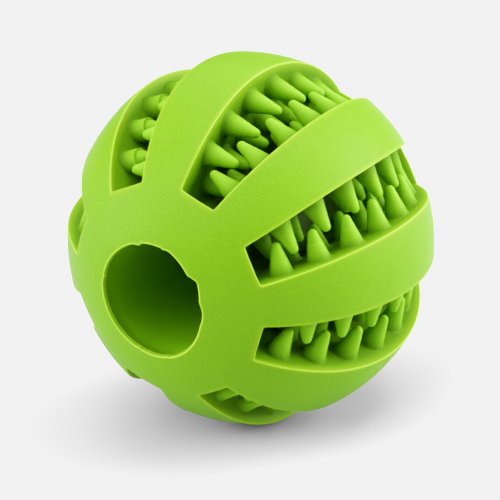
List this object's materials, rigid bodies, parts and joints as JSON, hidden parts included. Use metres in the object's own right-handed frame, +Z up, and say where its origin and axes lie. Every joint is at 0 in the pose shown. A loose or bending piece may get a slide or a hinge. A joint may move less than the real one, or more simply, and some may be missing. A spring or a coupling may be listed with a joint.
{
  "type": "dog chew ball",
  "caption": "Moulded rubber dog chew ball with a treat bore through its middle and lens-shaped slots around it, lined with rows of cone-shaped cleaning teeth.",
  "frame": {"origin": "centre of the ball, on the axis of the treat bore and midway between its two mouths", "axes": "+Y along the treat bore, from the front mouth to the rear mouth; +Z up, away from the rib that the ball lies on; +X to the right as seen from the front mouth"},
  "size_m": [0.0698, 0.0662, 0.0698],
  "materials": {
    "rubber": "matte lime-green moulded rubber"
  },
  "bodies": {
    "root": {"front_cap": "rubber", "rear_cap": "rubber", "treat_tube": "rubber", "rib_1": "rubber", "rib_2": "rubber", "rib_3": "rubber", "rib_4": "rubber", "rib_5": "rubber", "rib_6": "rubber", "rib_7": "rubber", "rib_8": "rubber", "tooth_strip_1_left": "rubber", "tooth_strip_1_right": "rubber", "tooth_strip_2_left": "rubber", "tooth_strip_2_right": "rubber", "tooth_strip_3_left": "rubber", "tooth_strip_3_right": "rubber", "tooth_strip_4_left": "rubber", "tooth_strip_4_right": "rubber", "tooth_strip_5_left": "rubber", "tooth_strip_5_right": "rubber", "tooth_strip_6_left": "rubber", "tooth_strip_6_right": "rubber", "tooth_strip_7_left": "rubber", "tooth_strip_7_right": "rubber", "tooth_strip_8_left": "rubber", "tooth_strip_8_right": "rubber"}
  },
  "joints": []
}
